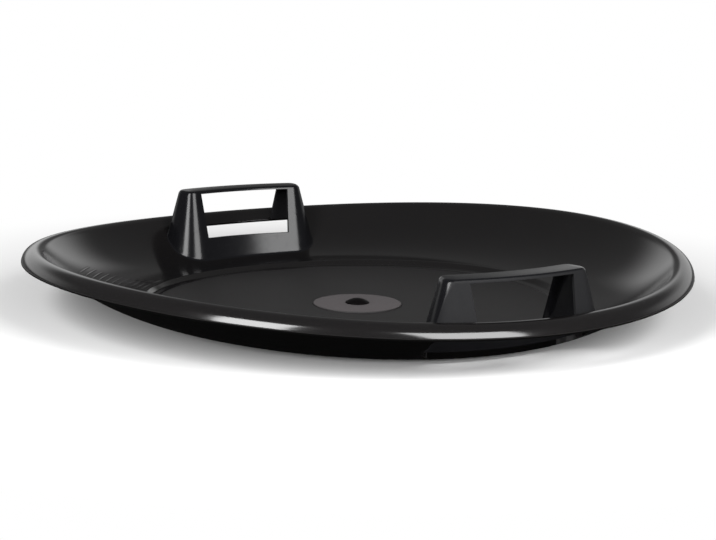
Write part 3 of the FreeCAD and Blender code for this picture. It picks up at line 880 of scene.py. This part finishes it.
class SLED_OT_centre(SledOperator):
    """Builds the centre pad and its plug"""
    bl_idname = "sled.centre"
    bl_label = "Centre pad and plug"

    def execute(self, context):
        s = context.scene.sled_centre
        colours = context.scene.sled_colours
        low, top, radius = PAD_LOW.z, PAD_HIGH.z, PAD_HIGH.x
        hole = s.stem_radius
        pad = eased([(hole, low), (radius, low), (radius, top), (hole, top)], s.pad_round)
        make_piece("pad", *lathe(np.concatenate([pad, pad[:1]]), PAD_COLUMNS), pad_plastic(colours),
                   "pad_plastic", ["centre_pad"])
        brim, dome = PLUG_HIGH.x, PLUG_HIGH.z - top - s.plug_brim
        ball = (brim ** 2 + dome ** 2) / (2 * dome)
        swing = np.linspace(math.asin(brim / ball), 0, DOME_STEPS + 1)
        cap = np.stack([ball * np.sin(swing), PLUG_HIGH.z - ball * (1 - np.cos(swing))], 1)
        barb_top = PLUG_LOW.z + s.barb_thick
        foot = [(0, PLUG_LOW.z), (s.barb_radius, PLUG_LOW.z), (s.barb_radius, barb_top), (hole, barb_top),
                (hole, top), (brim, top)]
        plug = eased(np.concatenate([foot, cap[:2]]), s.plug_round, 4)
        make_piece("plug", *lathe(np.concatenate([plug, cap[2:]]), PLUG_COLUMNS), plug_plastic(colours),
                   "plug_plastic", ["centre_plug"])
        return {"FINISHED"}


def aimed(place, target):
    """A matrix at a place whose -Z points at the target."""
    back = (Vector(place) - Vector(target)).normalized()
    right = Vector((0, 0, 1)).cross(back).normalized()
    return framed(place, right, back.cross(right), back)


def framed(place, right, up, back):
    """A matrix from three axes and a place."""
    matrix = Matrix((right, up, back)).transposed().to_4x4()
    matrix.translation = Vector(place)
    return matrix


def sines(*degrees):
    """The sines of angles in degrees."""
    return tuple(math.sin(math.radians(each)) for each in degrees)


# The room's light, and the share of the ground's colour that is seen in reflections
ROOM_LIGHT, MIRRORED_GROUND = 0.14, 0.2
# Half size of the ground, and the distances from the sled's axis over which it turns white for the camera
GROUND_REACH, WHITE_GROUND = 12.0, (0.30, 0.62)
# The pale panels: their elevation fades in and out, their turn fades in from straight behind the sled
PANEL_FOOT, PANEL_TOP, PANEL_SIDE, PANEL_BEHIND = sines(-1, 3), sines(14, 28), sines(3, 10), (0.2, 0.7)
PANEL_LIGHT = 0.8
# Lights: name, turn from the camera's direction to the right and elevation in degrees, distance, width and
# height in metres, watts
LIGHTS = (
    ("right box", 37, 24, 2.0, 1.1, 1.35, 58.0),
    ("left box", -31, 24, 2.0, 0.8, 1.35, 58.0),
)


class SLED_OT_stage(SledOperator):
    """Sets up the pale floor, the soft lights, the world and the camera"""
    bl_idname = "sled.stage"
    bl_label = "Stage"

    def execute(self, context):
        scene = context.scene
        view = scene.sled_view
        turn = view.azimuth
        target = Vector((0, 0, DISH_HIGH.z - scene.sled_dish.rim_warp))
        self.ground(scene)
        self.world(scene, (-math.sin(turn), math.cos(turn), 0), (math.cos(turn), math.sin(turn), 0))
        for name, aside, up, distance, width, height, power in LIGHTS:
            light = bpy.data.lights.new(name, "AREA")
            light.shape, light.size, light.size_y, light.energy = "RECTANGLE", width, height, power
            around, lift = turn + math.radians(aside), math.radians(up)
            place = distance * Vector((math.sin(around) * math.cos(lift), -math.cos(around) * math.cos(lift),
                                       math.sin(lift)))
            lamp = bpy.data.objects.new(name, light)
            lamp.matrix_world = aimed(place + target, target)
            scene.collection.objects.link(lamp)
        self.camera(scene, view, target)
        scene.view_settings.view_transform = "Standard"
        return {"FINISHED"}

    @staticmethod
    def ground(scene):
        """A wide pale floor: lit and shadowed near the sled, plain white farther out, dim in reflections."""
        paint = Paint("pale ground", Roughness=0.9, Specular_IOR_Level=0.1)
        pale = scene.sled_colours.ground
        paint.feed(Base_Color=paint.mix(paint.ray("Glossy"), shade(pale), shade(pale, MIRRORED_GROUND)))
        away = paint.from_axis(paint.place()).between(*WHITE_GROUND)
        white = paint.node("ShaderNodeEmission", {}, {"Color": (1, 1, 1, 1), "Strength": 1.0})
        lit = Value(paint, paint.shader.outputs[0])
        mixed = paint.node("ShaderNodeMixShader", {}, {0: away * paint.ray("Camera"), 1: lit, 2: white})
        paint.tree.links.new(mixed.socket, paint.output.inputs["Surface"])
        mesh = bpy.data.meshes.new("ground")
        corners = [(x * GROUND_REACH, y * GROUND_REACH, 0) for x, y in ((-1, -1), (1, -1), (1, 1), (-1, 1))]
        mesh.from_pydata(corners, [], [(0, 1, 2, 3)])
        mesh.materials.append(paint.material)
        ground = bpy.data.objects.new("ground", mesh)
        scene.collection.objects.link(ground)

    @staticmethod
    def world(scene, ahead, right):
        """A dim room with two pale panels behind the sled; plain white where the camera itself sees it."""
        world = bpy.data.worlds.new("room")
        world.use_nodes = True
        scene.world = world
        nodes = Nodes(world.node_tree)
        look = nodes.node("ShaderNodeTexCoord", {}, {}, "Generated")
        up = nodes.node("ShaderNodeSeparateXYZ", {}, {0: look}, "Z")
        behind, aside = (nodes.vector("DOT_PRODUCT", look, axis, output="Value") for axis in (ahead, right))
        level = up.between(*PANEL_FOOT) * (1 - up.between(*PANEL_TOP))
        panels = level * aside.math("ABSOLUTE").between(*PANEL_SIDE)
        backdrop = panels * behind.between(*PANEL_BEHIND) * PANEL_LIGHT
        strength = (ROOM_LIGHT + backdrop * (1 - ROOM_LIGHT)).math("MAXIMUM", nodes.ray("Camera"))
        background = world.node_tree.nodes["Background"]
        background.inputs["Color"].default_value = (1, 1, 1, 1)
        world.node_tree.links.new(strength.socket, background.inputs["Strength"])

    @staticmethod
    def camera(scene, view, target):
        """The photograph's camera."""
        sin, cos = math.sin(view.azimuth), math.cos(view.azimuth)
        level = math.cos(view.elevation)
        back = Vector((sin * level, -cos * level, math.sin(view.elevation)))
        right = Vector((cos, sin, 0))
        up = back.cross(right)
        tilt_cos, tilt_sin = math.cos(view.roll), math.sin(view.roll)
        camera = bpy.data.cameras.new("photo")
        camera.sensor_fit, camera.sensor_width = "HORIZONTAL", 36.0
        camera.lens = camera.sensor_width * view.focal_pixels / PHOTO_WIDTH
        camera.shift_x = (PHOTO_WIDTH / 2 - view.centre_x) / PHOTO_WIDTH
        camera.shift_y = (view.centre_y - PHOTO_HEIGHT / 2) / PHOTO_WIDTH
        seat = bpy.data.objects.new("photo", camera)
        seat.matrix_world = framed(target + back * view.distance, tilt_cos * right + tilt_sin * up,
                                   tilt_cos * up - tilt_sin * right, back)
        scene.collection.objects.link(seat)
        scene.camera = seat


class SLED_PT_panel(bpy.types.Panel):
    """The sled's buttons and sizes in the sidebar"""
    bl_idname = "SLED_PT_panel"
    bl_label = "Saucer sled"
    bl_space_type = "VIEW_3D"
    bl_region_type = "UI"
    bl_category = "Sled"

    def draw(self, context):
        for operator in OPERATORS:
            self.layout.operator(operator.bl_idname)
        for name, group in GROUPS.items():
            box = self.layout.box()
            box.label(text=group.__doc__)
            for prop in group.__annotations__:
                box.prop(getattr(context.scene, name), prop)


OPERATORS = (SLED_OT_dish, SLED_OT_grips, SLED_OT_centre, SLED_OT_stage)
CLASSES = tuple(GROUPS.values()) + OPERATORS + (SLED_PT_panel,)


def register():
    """Registers the classes and hangs the property groups on the scene."""
    for cls in CLASSES:
        bpy.utils.register_class(cls)
    for name, group in GROUPS.items():
        setattr(bpy.types.Scene, name, bpy.props.PointerProperty(type=group))


def unregister():
    """Takes the property groups and the classes away again."""
    for name in GROUPS:
        delattr(bpy.types.Scene, name)
    for cls in reversed(CLASSES):
        bpy.utils.unregister_class(cls)


def main():
    """Builds the sled and its stage."""
    register()
    bpy.ops.sled.dish()
    bpy.ops.sled.grips()
    bpy.ops.sled.centre()
    bpy.ops.sled.stage()


if __name__ == "__main__":
    main()
